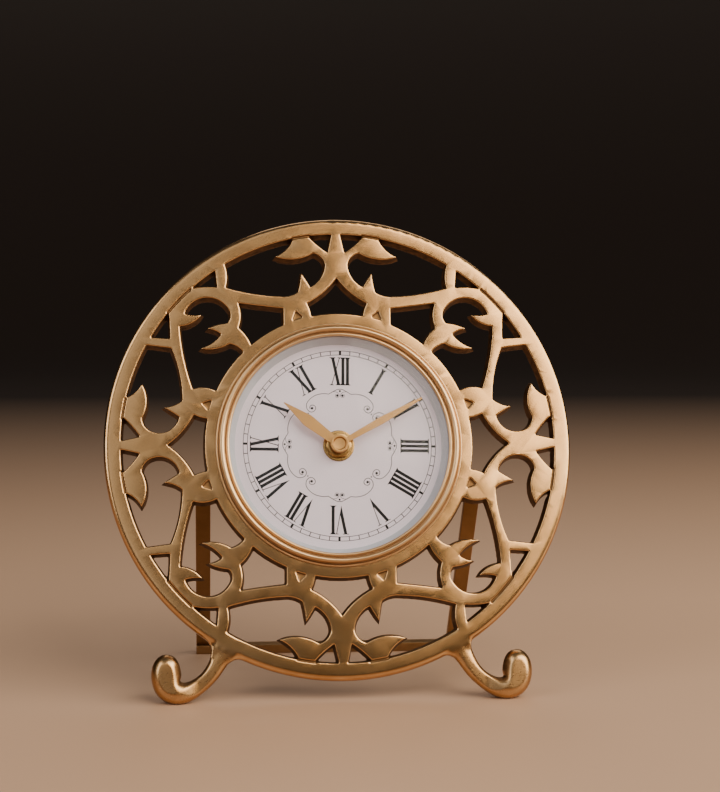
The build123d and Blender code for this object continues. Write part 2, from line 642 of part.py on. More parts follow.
def setting_knob():
    """The setting shaft with its pinion and the fluted knob at the back."""
    knob_w = back_face - KNOB_GAP
    shaft = disc(SETTING_SHAFT_R, knob_w, hour_level)
    pinion = gear(SETTING_TEETH, HAND_MODULE, minute_level - WHEEL_T, WHEEL_T, SETTING_SHAFT_R, setting_turn)
    face = Circle(KNOB_R) - [loc * Circle(KNOB_FLUTE_R) for loc in PolarLocations(KNOB_R, KNOB_FLUTES)]
    knob = extrude(Pos(0, 0, knob_w) * face, -KNOB_T)
    return leaned(Pos(*setting_at, 0) * (shaft + pinion + knob))


def train_wheel(teeth, level, leaf_level, place, turn, leaf_turn):
    """A wheel of the going train with its leaf pinion and staff."""
    low = min(level, leaf_level) - WHEEL_T
    staff = disc(STAFF_R, train_plate_w - TRAIN_PLATE_T, case_floor)
    wheel = gear(teeth, TRAIN_MODULE, level - WHEEL_T, WHEEL_T, STAFF_R, turn)
    leaf = gear(LEAF_TEETH, TRAIN_MODULE, low, abs(level - leaf_level) + WHEEL_T, STAFF_R, leaf_turn)
    return leaned(Pos(*place, 0) * (staff + wheel + leaf))


def centre_wheel():
    """The centre wheel, which slips on the arbor when the hands are set."""
    return leaned(gear(CENTRE_TEETH, TRAIN_MODULE, centre_level - WHEEL_T, WHEEL_T, ARBOR_R + RUNNING_FIT))


third_leaf_turn = meshing_turn(CENTRE_TEETH, 0, THIRD_ANGLE, LEAF_TEETH)
fourth_leaf_turn = meshing_turn(THIRD_TEETH, 0, FOURTH_ANGLE, LEAF_TEETH)
rotor_leaf_turn = meshing_turn(FOURTH_TEETH, 0, ROTOR_ANGLE, LEAF_TEETH)


def third_wheel():
    """The third wheel."""
    return train_wheel(THIRD_TEETH, third_level, centre_level, third_at, 0, third_leaf_turn)


def fourth_wheel():
    """The fourth wheel."""
    return train_wheel(FOURTH_TEETH, centre_level, third_level, fourth_at, 0, fourth_leaf_turn)


def rotor():
    """The stepping motor's rotor."""
    staff = disc(STAFF_R, train_plate_w - TRAIN_PLATE_T, case_floor)
    leaf = gear(LEAF_TEETH, TRAIN_MODULE, centre_level - WHEEL_T, WHEEL_T, STAFF_R, rotor_leaf_turn)
    magnet = disc(ROTOR_R, third_level - WHEEL_T, third_level)
    return leaned(Pos(*rotor_at, 0) * (staff + leaf + magnet))


def stator():
    """The stator plate with its hole for the rotor and the core of the coil."""
    plate = Pos(rotor_at[0], stator_low_v + STATOR_H / 2) * Rectangle(STATOR_W, STATOR_H)
    core = Pos(rotor_at[0] + CORE_L / 2, core_v) * Rectangle(CORE_L, CORE_W)
    hole = Pos(*rotor_at) * Circle(ROTOR_R + 2 * SIDE_GAP)
    return leaned(extrude(Pos(0, 0, third_level) * (plate + core - hole), -STATOR_T))


def coil():
    """The winding on the stator's core."""
    start_u = rotor_at[0] + STATOR_W / 2 + SIDE_GAP
    middle_w = third_level - STATOR_T / 2
    spool = extrude(Plane.YZ * Pos(core_v, middle_w) * (Circle(COIL_R) - Rectangle(CORE_W, STATOR_T)), COIL_L)
    return leaned(Pos(start_u, 0, 0) * spool)


def circuit_board():
    """The circuit board with its sealed chip, on the train plate."""
    place = Pos(cavity - SIDE_GAP - BOARD_W / 2, train_low_v + SIDE_GAP + BOARD_H / 2, train_plate_w)
    board = extrude(Rectangle(BOARD_W, BOARD_H), BOARD_T)
    chip = extrude(Pos(-BOARD_W / 4, BOARD_H / 4, BOARD_T) * Circle(CHIP_R), CHIP_T)
    return leaned(place * (board + chip))


def quartz_crystal():
    """The quartz crystal in its can, lying on the board."""
    place = Pos(cavity - SIDE_GAP - BOARD_W / 2, train_low_v + SIDE_GAP + BOARD_H / 4, train_plate_w + BOARD_T)
    can = extrude(Plane.YZ * Pos(0, CRYSTAL_R + PRESS_FIT) * Circle(CRYSTAL_R), CRYSTAL_L / 2, both=True)
    return leaned(place * can)


def block(half_u, low_v, high_v, low_w, high_w, corner=0):
    """A block across the plate's middle, with rounded corners where it has them."""
    height = high_v - low_v
    flat = RectangleRounded(2 * half_u, height, corner) if corner else Rectangle(2 * half_u, height)
    return extrude(Pos(0, (low_v + high_v) / 2, low_w) * flat, high_w - low_w)


def case_blank(low_w, high_w):
    """The movement's outline as a block."""
    return block(cavity + CASE_WALL, case_low_v, case_high_v, low_w, high_w, CASE_ROUND)


def movement_case():
    """The case with a room for the train, an open bay for the cell and the wheel post."""
    body = case_blank(case_back, movement_front)
    body -= block(cavity, train_low_v, train_high_v, case_back - CUT, case_floor)
    body -= block(cavity, bay_low_v, divider_v, case_back - CUT, case_floor)
    body -= disc(BUSH_R + PRESS_FIT, case_floor - CUT, movement_front + CUT)
    body += Pos(*minute_wheel_at, 0) * disc(POST_R, minute_level - WHEEL_T, case_floor)
    return leaned(body)


def train_plate():
    """The plate that carries the back ends of the staffs."""
    low_v = train_low_v + SIDE_GAP
    high_v = train_high_v - SIDE_GAP
    plate = block(cavity - SIDE_GAP, low_v, high_v, train_plate_w - TRAIN_PLATE_T, train_plate_w)
    holes = [((0, 0), ARBOR_R + RUNNING_FIT), (setting_at, SETTING_SHAFT_R + RUNNING_FIT)]
    holes += [(place, STAFF_R + PRESS_FIT) for place in (third_at, fourth_at, rotor_at)]
    for place, radius in holes:
        plate -= Pos(*place, 0) * disc(radius, train_plate_w - CUT, train_plate_w + CUT)
    return leaned(plate)


def movement_back():
    """The back cover over the train, with a rib behind the train plate and a hole for the setting shaft."""
    half_u = cavity - SIDE_GAP
    low_v = train_low_v + SIDE_GAP
    high_v = train_high_v - SIDE_GAP
    rib_top = train_plate_w - TRAIN_PLATE_T
    cover = case_blank(back_face, case_back) - block(CUT, divider_v - CUT * 2, divider_v, back_face, case_back)
    rib = block(half_u, low_v, high_v, case_back, rib_top)
    rib -= block(half_u - CASE_WALL, low_v + CASE_WALL, high_v - CASE_WALL, case_back, rib_top)
    hole = Pos(*setting_at, 0) * disc(SETTING_SHAFT_R + RUNNING_FIT, back_face - CUT, case_back + CUT)
    return leaned(cover + rib - hole)


def battery_place():
    """Middle of the cell."""
    return Pos(0, battery_v, case_floor - SIDE_GAP - BATTERY_R)


def aa_battery():
    """The cell, with its button to the right."""
    start = -(BATTERY_L + BATTERY_NUB_L) / 2
    can = extrude(Plane.YZ * Circle(BATTERY_R), BATTERY_L)
    nub = extrude(Plane.YZ * Circle(BATTERY_NUB_R), BATTERY_L + BATTERY_NUB_L)
    return leaned(battery_place() * Pos(start, 0, 0) * (can + nub))


def contact(side):
    """A contact strip at one end of the cell, with a leaf that bears on the cell."""
    end = (BATTERY_L + BATTERY_NUB_L) / 2
    wall = cavity - PRESS_FIT
    strip = extrude(Plane.YZ * Rectangle(CONTACT_W, CONTACT_W), CONTACT_T)
    leaf = extrude(Plane.YZ * Rectangle(CONTACT_W / 2, CONTACT_W / 2), wall - end)
    right = Pos(wall - CONTACT_T, 0, 0) * strip + Pos(end, 0, 0) * leaf
    return leaned(battery_place() * (right if side > 0 else mirror(right, about=Plane.YZ)))


def clock_pieces():
    """Every piece of the clock, by name."""
    flat_casting = frame_casting()
    right_foot = foot(flat_casting)
    return {
        "frame_casting": leaned(flat_casting),
        "left_foot": mirror(right_foot, about=Plane.YZ),
        "right_foot": right_foot,
        "left_hinge_bracket": hinge_bracket(-1),
        "right_hinge_bracket": hinge_bracket(1),
        "left_hinge_pin": hinge_pin(-1),
        "right_hinge_pin": hinge_pin(1),
        "left_strut_leg": strut_leg(-1),
        "right_strut_leg": strut_leg(1),
        "strut_crossbar": strut_crossbar(),
        "bezel_ring": bezel_ring(),
        "glass_lens": glass_lens(),
        "dial_spacer_ring": dial_spacer_ring(),
        "dial_card": dial_card(),
        "insert_can": insert_can(),
        "grip_band": grip_band(),
        "rubber_washer": rubber_washer(),
        "threaded_bush": threaded_bush(),
        "dial_washer": dial_washer(),
        "hex_nut": hex_nut(),
        "hour_hand": hour_hand(),
        "minute_hand": minute_hand(),
        "cap_nut": cap_nut(),
        "hour_wheel": hour_wheel(),
        "minute_arbor": minute_arbor(),
        "minute_wheel": minute_wheel(),
        "setting_knob": setting_knob(),
        "centre_wheel": centre_wheel(),
        "third_wheel": third_wheel(),
        "fourth_wheel": fourth_wheel(),
        "rotor": rotor(),
        "stator": stator(),
        "coil": coil(),
        "circuit_board": circuit_board(),
        "quartz_crystal": quartz_crystal(),
        "movement_case": movement_case(),
        "movement_back": movement_back(),
        "train_plate": train_plate(),
        "aa_battery": aa_battery(),
        "positive_contact": contact(1),
        "negative_contact": contact(-1),
    }


def centred(pieces):
    """All pieces moved together, so that the origin is under the middle of their box."""
    boxes = [piece.bounding_box() for piece in pieces.values()]
    middle = (min(box.min.Y for box in boxes) + max(box.max.Y for box in boxes)) / 2
    return {name: Pos(0, -middle, 0) * piece for name, piece in pieces.items()}


os.makedirs("parts", exist_ok=True)
for name, piece in centred(clock_pieces()).items():
    export_step(piece, f"parts/{name}.step")
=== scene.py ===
import json
import math

import bmesh
import bpy
from mathutils import Matrix, Vector


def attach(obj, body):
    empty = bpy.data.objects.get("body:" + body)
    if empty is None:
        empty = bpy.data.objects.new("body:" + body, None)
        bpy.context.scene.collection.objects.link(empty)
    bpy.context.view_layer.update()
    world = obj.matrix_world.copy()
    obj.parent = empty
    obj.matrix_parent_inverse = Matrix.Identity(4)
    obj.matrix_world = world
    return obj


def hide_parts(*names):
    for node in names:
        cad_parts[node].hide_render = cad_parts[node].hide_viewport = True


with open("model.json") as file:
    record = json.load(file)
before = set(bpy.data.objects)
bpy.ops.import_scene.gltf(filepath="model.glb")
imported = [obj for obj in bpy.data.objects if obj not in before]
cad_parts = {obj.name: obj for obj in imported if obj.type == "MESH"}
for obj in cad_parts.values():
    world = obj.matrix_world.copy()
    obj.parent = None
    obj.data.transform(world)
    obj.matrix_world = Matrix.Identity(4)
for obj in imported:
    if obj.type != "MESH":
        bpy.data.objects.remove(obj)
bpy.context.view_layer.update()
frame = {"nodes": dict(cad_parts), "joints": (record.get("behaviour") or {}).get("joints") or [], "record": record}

MM = 0.001


def mm(*values):
    """Millimetres as metres."""
    return tuple(value * MM for value in values)


# What the frame says of each CAD node
NODES = frame["nodes"]
SLOTS = {row["node"]: row["material_slot"] for row in frame["record"]["subparts"]}
BODIES = {node: body for body, nodes in frame["record"]["behaviour"]["bodies"].items() for node in nodes}

# The plate: u to the viewer's right, v up the plate, w out of the dial
SPIN = next(joint for joint in frame["joints"] if joint["name"] == "minute_spin")
OUT = -Vector(SPIN["axis"]).normalized()
ACROSS = Vector((1, 0, 0))
UP = OUT.cross(ACROSS)
PLATE = Matrix.Translation(SPIN["pos_m"]) @ Matrix((ACROSS, UP, OUT)).transposed().to_4x4()

# The photograph's camera, placed against the plate in degrees and mm
FOCAL_PX = 1800
IMAGE_LONG_PX = 792
SENSOR = 36
CAMERA_TURNS = (-11.322, 5.051, 0.182)
CAMERA_SHIFT = (-8.8, -20.57, -773.32)
NEAR_CLIP = 10 * MM

# Points closer than these are one point
SAME_POINT = 1e-6
WELD_REACH = 1e-5

# The casting and its feet, as one poured piece
CAST_NODES = ("frame_casting", "left_foot", "right_foot")
VOXEL = 0.25 * MM
SMOOTH_FACTOR = 0.5
SOFTEN_TIMES = 5
ROOT_TIMES = 75
KEEP_SHARE = 0.14
RING_RADIUS = 100.7 * MM
RIM_INSIDE = 96.5 * MM
RIM_BLEND = 1 * MM
RIM_OUTSIDE = 101.5 * MM
RIM_SMOOTH = mm(97.5, 98.5)
RIM_WEIGHT = 0.35

# The draft of the openwork's walls, between the hub and the rim
CAST_BACK = -6 * MM
BACK_REACH = 0.01 * MM
DRAFT = 0.9 * MM
DRAFT_RADII = (53.5 * MM, RIM_INSIDE)
WALL_LEAN_LIMIT = 0.5
CORNER_LEAST_SHARE = 0.6

# A foot's root: its middle, and at each corner the place, the way of the stem and the way round the ring
ROOT_MIDDLE = mm(50.2, -88.6, -3)
ROOT_REACH = mm(6, 11)
ROOT_EDGES = (
    (mm(54.04, -84.97), (0.33, -0.94), 1),
    (mm(44.95, -90.11), (0.75, -0.66), -1),
)

# Metal added at the roots, on the viewer's right (1) and left (-1)
ROOT_FILLETS = {1: mm(2, 2), -1: mm(5.6, 3.6)}
FILLET_FRONT = -0.6 * MM
FILLET_SUNK = 0.2 * MM
FILLET_HOLD = 2 * MM
FILLET_STEPS = 8
BRIDGE_LENGTHS = {1: 4 * MM, -1: 7 * MM}
BRIDGE_HOLD = 3 * MM
BRIDGE_TAPER_SHARE = 0.2
BRIDGE_FRONT = -0.1 * MM
BRIDGE_END = -0.9 * MM
BLOCK_BACK = -5.2 * MM

# The flats on the feet's fronts, from the stem to the curl
STEM_FLAT = -0.3 * MM
CURL_FLAT = 1.9 * MM
FLAT_REACH = mm(60, 70)

# Where the casting keeps its raw skin, darkened further as painted shade, and where its edges are lighter from
# polish wear and a painted highlight; a pair gives the limits of a soft change
FOOT_CURL = mm(66.5, -94.5)
FOOT_SKIN = 0.2
CURL_SKIN = 0.9
CURL_INWARD = (0.2, 0.6)
CURL_FRONT = (0.75, 0.95)
BACK_POLISH = 0.5
BACK_LEAN = (0.5, 0.8)
FRONT_LEAN = (0.4, 0.72)
DENT_SKIN = 0.7
DENT_DEPTH = mm(0.2, 0.5)
WEAR_AND_HIGHLIGHT_BEGIN = (0.62, 0.8)
WEAR_AND_HIGHLIGHT_END = (0.92, 0.98)

# Thin metal and moulded pieces with the width of their broken edges, in mm and degrees
EDGES = {
    "left_strut_leg": 0.35, "right_strut_leg": 0.35, "strut_crossbar": 0.35,
    "left_hinge_bracket": 0.25, "right_hinge_bracket": 0.25,
    "hour_hand": 0.06, "minute_hand": 0.06, "hex_nut": 0.12,
    "movement_case": 0.4, "movement_back": 0.35, "setting_knob": 0.15,
}
LEVEL_ANGLE = 0.5
BEVEL_ANGLE = 40
BEVEL_STEPS = 3

# Turned pieces with the width of their rounded corners, in mm and degrees
TURNED = {
    "bezel_ring": 0.08, "dial_spacer_ring": 0.05, "cap_nut": 0.15, "dial_washer": 0.1, "insert_can": 0.25,
    "grip_band": 0.15, "glass_lens": 0.1,
}
TURNED_SIDES = 240
CORNER_ANGLE = 140
CORNER_STEPS = 4
CORNER_ROOM = 2.1
# The middles of the bezel's grooves, which get painted shade
BEZEL_SHADE_GROOVES = mm(49, 51.9)
GROOVE_HALF = 0.2 * MM

# The dial's print, in mm about the dial's middle
DIAL_FACE = -5.0
INK_SUNK = 0.02
INK_PROUD = 0.03
INK_LOW = DIAL_FACE - INK_SUNK
INK_HIGH = DIAL_FACE + INK_PROUD
PRINT_AT = (0.48, 0.35)
PRINT_TURN = -1.2
TRACK_RADII = (39.9, 41.7)
TRACK_LINE = 0.24
TRACK_SIDES = 180
TICK_WIDTH = 0.34
BLOCK_WIDTH = 1.0
BLOCK_EVERY = 5
MINUTE_TURN = -6
HOUR_TURN = -30
NUMERALS = ("XII", "I", "II", "III", "IIII", "V", "VI", "VII", "VIII", "IX", "X", "XI")
NUMERAL_LOW = 26.4
NUMERAL_HIGH = 38.8
STEM = 1.32
HAIRLINE = 0.36
SERIF_DEEP = 0.3
SERIF_REACH = 0.66
BRACKET = 0.45
STEM_FLARE_SHARE = 0.8
HAIR_FLARE_SHARE = 0.4
LETTER_GAP = 0.68
V_HALF = 2.0
X_STEM = 1.38
X_HAIR = 1.68

# One eighth of the cartouche as smooth lines through points, and its dots as places with their diameters
SCROLL_LINE = 0.27
CURL_LINE = 0.17
ARCH = ((0, 24.65), (0.95, 24.55), (1.81, 24.19), (3.3, 23.35), (4.95, 22.36))
LOBE = ((4.95, 22.36), (6.1, 22.52), (7.25, 22.55), (9.46, 22.15), (11.48, 21.29), (13.41, 19.63),
        (14.45, 17.85), (14.39, 16.15), (13.81, 15.09), (13.1, 14.5), (12.28, 14.31), (11.2, 14.75),
        (10.49, 15.87), (10.85, 17.0), (11.86, 17.4), (12.75, 17.1), (13.07, 16.4), (12.9, 15.75))
CURL = ((3.1, 23.5), (1.9, 23.45), (0.8, 22.95), (0.3, 22.15), (0.42, 21.3), (1.1, 20.9), (1.8, 21.2),
        (2.0, 21.9), (1.75, 22.4))
SPLINE_STEPS = 7
PAIRED_DOTS = (((1.12, 21.82), 1.12), ((12.09, 16.01), 1.15))
SINGLE_DOTS = (((0, 23.8), 0.88), ((13.72, 13.72), 0.6))
DOT_SIDES = 20

# The studio, in metres: a round floor that sweeps up to a wall, and how painted shade darkens its tone to the back
# and up the wall
FLOOR_MIDDLE = 0.0001
FLOOR_RADIUS = 1.6
SWEEP_RADIUS = 0.9
SWEEP_STEPS = 12
WALL_TOP = 2.2
STUDIO_SIDES = 72
FADE_BACK_SHARE = 0.4
PAINTED_SHADE_RANGE = (0.06, 0.5)


# Shader nodes

# The sockets of a mix node
MIX_SHARE = 0
MIX_NUMBERS = (2, 3)
MIX_COLOURS = (6, 7)
MIX_NUMBER_OUT = 0
MIX_COLOUR_OUT = 2

# The values between which most of a noise lies
NOISE_LOW = 0.3
NOISE_HIGH = 0.7


def add(tree, kind, inputs=None, **settings):
    """One shader node, with its settings and its inputs: a socket is linked, a value is set."""
    made = tree.nodes.new(kind)
    for key, value in settings.items():
        setattr(made, key, value)
    for key, value in (inputs or {}).items():
        if isinstance(value, bpy.types.NodeSocket):
            tree.links.new(value, made.inputs[key])
        else:
            made.inputs[key].default_value = value
    return made


def begin(name, values=None):
    """A new material, its tree, its Principled shader with plain values set, and object coordinates."""
    made = bpy.data.materials.new(name)
    made.use_nodes = True
    tree = made.node_tree
    shader = tree.nodes["Principled BSDF"]
    for key, value in (values or {}).items():
        shader.inputs[key].default_value = value
    place = add(tree, "ShaderNodeTexCoord").outputs["Object"]
    return made, tree, shader, place


def worked_out(tree, operation, *values):
    """The result of one operation on numbers or sockets."""
    return add(tree, "ShaderNodeMath", dict(enumerate(values)), operation=operation).outputs[0]


def mapped(tree, place, inputs):
    """Coordinates moved, turned or scaled."""
    return add(tree, "ShaderNodeMapping", {"Vector": place, **inputs}).outputs["Vector"]


def cloud(tree, place, waves, detail=3.0, rough=0.5, stretch=None, turn=(0, 0, 0)):
    """Noise of so many waves to the metre, turned and drawn out along the axes where stretch is given."""
    if stretch:
        place = mapped(tree, place, {"Rotation": [math.radians(a) for a in turn]})
        place = mapped(tree, place, {"Scale": stretch})
    inputs = {"Vector": place, "Scale": waves, "Detail": detail, "Roughness": rough}
    return add(tree, "ShaderNodeTexNoise", inputs).outputs["Fac"]


def spread(tree, value, low, high, start=NOISE_LOW, end=NOISE_HIGH):
    """A value that runs from low to high while the given one runs from start to end."""
    limits = {"From Min": start, "From Max": end, "To Min": low, "To Max": high}
    return add(tree, "ShaderNodeMapRange", {"Value": value, **limits}).outputs["Result"]


def number_mix(tree, share, first, second):
    """A number that goes from first to second with share."""
    inputs = dict(zip((MIX_SHARE, *MIX_NUMBERS), (share, first, second)))
    return add(tree, "ShaderNodeMix", inputs).outputs[MIX_NUMBER_OUT]


def colour_mix(tree, share, first, second):
    """A colour that goes from first to second with share; each is a socket or red, green and blue."""
    inputs = {MIX_SHARE: share}
    for socket, colour in zip(MIX_COLOURS, (first, second)):
        inputs[socket] = colour if isinstance(colour, bpy.types.NodeSocket) else (*colour, 1)
    return add(tree, "ShaderNodeMix", inputs, data_type="RGBA").outputs[MIX_COLOUR_OUT]


def two_tones(tree, place, waves, dark, light):
    """A colour that wanders between two tones."""
    return colour_mix(tree, spread(tree, cloud(tree, place, waves), 0, 1), dark, light)


def surface(tree, shader, colour, gloss):
    """The shader's colour and roughness."""
    tree.links.new(colour, shader.inputs["Base Color"])
    tree.links.new(gloss, shader.inputs["Roughness"])


def relief(tree, shader, height, strength, depth):
    """Bumps too fine to model."""
    bump = add(tree, "ShaderNodeBump", {"Height": height, "Strength": strength, "Distance": depth})
    tree.links.new(bump.outputs["Normal"], shader.inputs["Normal"])


# Finishes

METALLIC = {"Metallic": 1.0}
METAL_TONE_WAVES = 60
METAL_DEPTH = 0.2 * MM
TURNED_DEPTH = 0.1 * MM
PLAIN_DEPTH = 0.1 * MM
PLAIN_STRENGTH = 0.1
FINE_TIMES = 8
FINE_NOISE = {"detail": 4, "rough": 0.6}
# Brown painted shade for the bezel's grooves
GROOVE_PAINTED_SHADE = (0.2, 0.095, 0.034)

# The casting's colours, gloss and waves to the metre
FACE_TONES = ((0.485, 0.256, 0.094), (0.575, 0.322, 0.13))
FACE_WAVES = 38
FACE_GLOSS = (0.205, 0.24)
# Lighter tone of the rounded edges: partly polish wear, partly a painted highlight
EDGE_WEAR_AND_HIGHLIGHT_TONE = (0.73, 0.48, 0.24)
EDGE_WAVES = 160
EDGE_LEAST = 0.2
# Dark wall tones: partly brown casting skin, partly painted shade
WALL_SKIN_AND_SHADE_TONES = ((0.04, 0.017, 0.006), (0.19, 0.09, 0.032))
WALL_WAVES = 420
WALL_GLOSS = (0.45, 0.65)
BRUSH_WAVES = 300
BRUSH_STRETCH = (0.3, 5, 5)
BRUSH_TURN = (0, 40, 0)
BRUSH_SHARE = 0.0025
PIT_WAVES = 1300
DENT_WAVES = 70
DENT_SHARE = 1.2
CAST_STRENGTH = 0.3
CAST_DEPTH = 0.3 * MM

# The glass
GLASS_TINT = (0.97, 0.985, 0.975, 1)
GLASS_WAVES = 90
GLASS_GLOSS = (0.06, 0.12)
GLASS_INDEX = 1.45
GLASS_SHINE = 0.2

# The ink and the floor
INK_SHEEN = {"Specular IOR Level": 0.12}
# The floor's pale tone and the dark painted shade it fades to
FLOOR_AND_PAINTED_SHADE_TONES = ((0.44, 0.278, 0.178), (0.02, 0.0135, 0.011))
FLOOR_GLOSS = {"Roughness": 0.55}


def metal(name, light, dark, rough, grain, strength):
    """Finished metal: two tones, uneven gloss and a fine grain of so many waves to the metre."""
    made, tree, shader, place = begin(name, METALLIC)
    colour = two_tones(tree, place, METAL_TONE_WAVES, dark, light)
    fine = cloud(tree, place, grain, **FINE_NOISE)
    surface(tree, shader, colour, spread(tree, fine, *rough))
    relief(tree, shader, fine, strength, METAL_DEPTH)
    return made


def turned_metal(name, light, dark, rough, lines, strength=0, grooves=()):
    """Metal finished on a lathe: two tones, fine rings about the dial's axis, and grooves darkened with painted
    shade.
    """
    made, tree, shader, place = begin(name, METALLIC)
    colour = two_tones(tree, place, METAL_TONE_WAVES, dark, light)
    to_plate = PLATE.inverted()
    centred = mapped(tree, place, {"Location": to_plate.translation, "Rotation": to_plate.to_euler()})
    flat = add(tree, "ShaderNodeVectorMath", {0: centred, 1: (1, 1, 0)}, operation="MULTIPLY")
    length = add(tree, "ShaderNodeVectorMath", {0: flat.outputs["Vector"]}, operation="LENGTH")
    radius = length.outputs["Value"]
    # Painted shade: each groove of the bezel is coloured dark brown
    for middle in grooves:
        inside = worked_out(tree, "COMPARE", radius, middle, GROOVE_HALF)
        colour = colour_mix(tree, inside, colour, GROOVE_PAINTED_SHADE)
    noise = {"W": radius, "Scale": lines, "Detail": 3.0}
    rings = add(tree, "ShaderNodeTexNoise", noise, noise_dimensions="1D").outputs["Fac"]
    surface(tree, shader, colour, spread(tree, rings, *rough))
    if strength:
        relief(tree, shader, rings, strength, TURNED_DEPTH)
    return made


def plain(name, light, dark, rough, waves, strength=PLAIN_STRENGTH, values=None):
    """Paint, paper, rubber or plastic: two close tones, uneven gloss and a fine surface."""
    made, tree, shader, place = begin(name, values)
    colour = two_tones(tree, place, waves, dark, light)
    fine = cloud(tree, place, waves * FINE_TIMES, **FINE_NOISE)
    surface(tree, shader, colour, spread(tree, fine, *rough))
    relief(tree, shader, fine, strength, PLAIN_DEPTH)
    return made


def brass_casting(name):
    """Satin brass where the file and the wheel reach, with edges lightened by polish wear and a painted highlight,
    and brown casting skin on the openwork's walls, darkened further as painted shade.
    """
    made, tree, shader, place = begin(name, METALLIC)
    skin = add(tree, "ShaderNodeAttribute", attribute_name="casting_skin_and_shade").outputs["Fac"]
    face = colour_mix(tree, spread(tree, cloud(tree, place, FACE_WAVES, detail=4), 0, 1), *FACE_TONES)
    # The rounded edges get a lighter tone: partly polish wear, partly a painted highlight
    worn_and_lit = add(tree, "ShaderNodeAttribute", attribute_name="edge_wear_and_highlight").outputs["Fac"]
    patchy = spread(tree, cloud(tree, place, EDGE_WAVES), EDGE_LEAST, 1)
    polished_and_lit = colour_mix(tree, worked_out(tree, "MULTIPLY", worn_and_lit, patchy), face, EDGE_WEAR_AND_HIGHLIGHT_TONE)
    # The wall colour, mixed in by skin, is partly brown casting skin and partly painted shade
    wall = colour_mix(tree, spread(tree, cloud(tree, place, WALL_WAVES, **FINE_NOISE), 0, 1), *WALL_SKIN_AND_SHADE_TONES)
    brushed = cloud(tree, place, BRUSH_WAVES, detail=2, rough=0.6, stretch=BRUSH_STRETCH, turn=BRUSH_TURN)
    pits = cloud(tree, place, PIT_WAVES, rough=0.6)
    gloss = number_mix(tree, skin, spread(tree, brushed, *FACE_GLOSS), spread(tree, pits, *WALL_GLOSS))
    surface(tree, shader, colour_mix(tree, skin, polished_and_lit, wall), gloss)
    grain = number_mix(tree, skin, worked_out(tree, "MULTIPLY", brushed, BRUSH_SHARE), pits)
    dents = cloud(tree, place, DENT_WAVES, detail=1)
    height = worked_out(tree, "MULTIPLY_ADD", dents, DENT_SHARE, grain)
    relief(tree, shader, height, CAST_STRENGTH, CAST_DEPTH)
    return made


def clear_glass(name):
    """Glass that lets the lamps through: clear, with a gloss that grows to the edge."""
    made = bpy.data.materials.new(name)
    made.use_nodes = True
    tree = made.node_tree
    tree.nodes.remove(tree.nodes["Principled BSDF"])
    place = add(tree, "ShaderNodeTexCoord").outputs["Object"]
    wiped = spread(tree, cloud(tree, place, GLASS_WAVES), *GLASS_GLOSS)
    clear = add(tree, "ShaderNodeBsdfTransparent", {"Color": GLASS_TINT})
    gloss = add(tree, "ShaderNodeBsdfGlossy", {"Roughness": wiped})
    edge = add(tree, "ShaderNodeFresnel", {"IOR": GLASS_INDEX})
    shine = worked_out(tree, "MULTIPLY", edge.outputs[0], GLASS_SHINE)
    both = add(tree, "ShaderNodeMixShader", {0: shine, 1: clear.outputs[0], 2: gloss.outputs[0]})
    tree.links.new(both.outputs[0], tree.nodes["Material Output"].inputs["Surface"])
    return made


def floor_with_painted_shade(name):
    """A pale warm floor with painted shade that darkens it to the back and up the wall."""
    made, tree, shader, place = begin(name, FLOOR_GLOSS)
    axes = add(tree, "ShaderNodeSeparateXYZ", {"Vector": place}).outputs
    behind = worked_out(tree, "MAXIMUM", axes["Y"], 0.0)
    depth = worked_out(tree, "MULTIPLY_ADD", behind, FADE_BACK_SHARE, axes["Z"])
    # Painted shade: the floor's tone darkens to the back and up the wall
    tone = colour_mix(tree, spread(tree, depth, 0, 1, *PAINTED_SHADE_RANGE), *FLOOR_AND_PAINTED_SHADE_TONES)
    tree.links.new(tone, shader.inputs["Base Color"])
    return made


